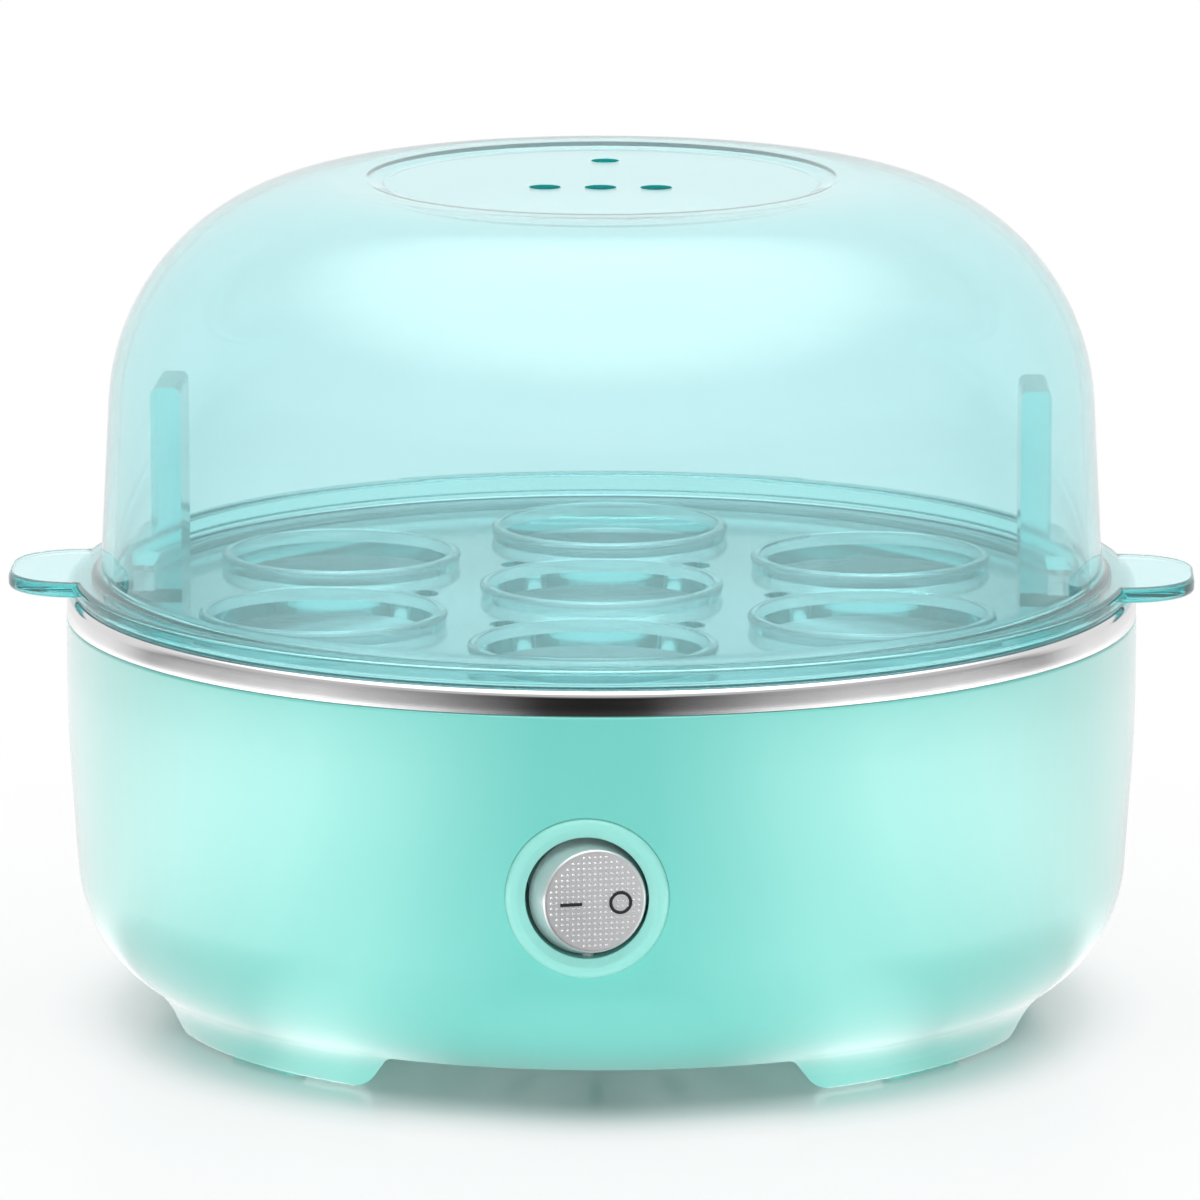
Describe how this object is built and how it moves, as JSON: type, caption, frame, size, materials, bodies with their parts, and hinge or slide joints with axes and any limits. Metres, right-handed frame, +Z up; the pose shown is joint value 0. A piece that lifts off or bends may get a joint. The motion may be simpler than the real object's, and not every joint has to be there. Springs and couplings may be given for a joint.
{
  "type": "egg cooker",
  "caption": "Round electric egg steamer: mint housing with feet and a rocker switch, steel water pan, clear egg tray with lifting bars, clear teal domed lid with ears.",
  "frame": {"origin": "on the table, below the middle of the housing", "axes": "+Z up, the switch faces -Y, the lid's ears point along X"},
  "size_m": [0.1826, 0.172, 0.1302],
  "materials": {
    "mint_plastic": "glossy mint moulding",
    "clear_teal_lid": "clear teal moulding",
    "clear_teal_tray": "clear teal moulding",
    "polished_steel": "polished stainless sheet",
    "silver_rocker": "silvery moulding with a fine dot texture",
    "white_plastic": "plain moulding",
    "dark_rubber": "matt",
    "mint_rubber": "matt",
    "silicone": "matt",
    "zinc_steel": "zinc plated",
    "aluminium": "raw sheet",
    "element_tube": "heat stained tube",
    "ceramic": "matt ceramic",
    "brass": "stamped brass",
    "black_plastic": "phenolic moulding",
    "glass_fibre": "woven sleeve",
    "lamp_glass": "small neon lamp",
    "brown_wire": "insulation",
    "blue_wire": "insulation",
    "red_wire": "insulation",
    "green_yellow_wire": "insulation"
  },
  "bodies": {
    "base": {"base_shell": "mint_plastic", "switch_housing": "mint_plastic", "bottom_cover": "mint_plastic", "heating_plate": "polished_steel", "rubber_feet": "dark_rubber", "cover_screws": "zinc_steel", "plate_seal": "silicone", "switch_terminals": "brass", "spade_sleeves": "white_plastic", "neon_lamp": "lamp_glass", "cord_gland": "mint_rubber", "heat_spreader": "aluminium", "heating_element": "element_tube", "element_seals": "ceramic", "element_pins": "zinc_steel", "plate_stud": "zinc_steel", "plate_strap": "zinc_steel", "stud_washer": "zinc_steel", "earth_tag": "brass", "stud_nut": "zinc_steel", "thermostat": "black_plastic", "thermostat_bracket": "zinc_steel", "thermostat_screws": "zinc_steel", "thermal_fuse": "aluminium", "fuse_sleeve": "glass_fibre", "fuse_clip": "aluminium", "terminal_block": "white_plastic", "terminal_screws": "brass", "live_wire": "brown_wire", "switched_wire": "red_wire", "element_wire": "red_wire", "fuse_wire": "blue_wire", "neutral_wire": "blue_wire", "lamp_wire": "blue_wire", "earth_wire": "green_yellow_wire"},
    "egg_tray": {"egg_tray": "clear_teal_tray"},
    "lid": {"lid": "clear_teal_lid"},
    "switch_rocker": {"switch_rocker": "silver_rocker", "rocker_plunger": "white_plastic", "plunger_spring": "zinc_steel"},
    "contact_lever": {"contact_lever": "brass"}
  },
  "joints": [
    {"name": "tray_lift", "type": "slide", "parent": "base", "child": "egg_tray", "axis": [0, 0, 1], "range_m": [0, 0.09]},
    {"name": "lid_lift", "type": "slide", "parent": "egg_tray", "child": "lid", "axis": [0, 0, 1], "range_m": [0, 0.09]},
    {"name": "switch_rock", "type": "hinge", "parent": "base", "child": "switch_rocker", "pos_m": [0, -0.0791, 0.0352], "axis": [0, 0, -1], "range_deg": [0, 28]},
    {"name": "contact_tip", "type": "hinge", "parent": "base", "child": "contact_lever", "pos_m": [0, -0.0705, 0.0352], "axis": [0, 0, 1], "range_deg": [0, 11.2]}
  ],
  "couplings": [
    {"joint": "contact_tip", "follows": "switch_rock", "ratio": 0.4}
  ]
}
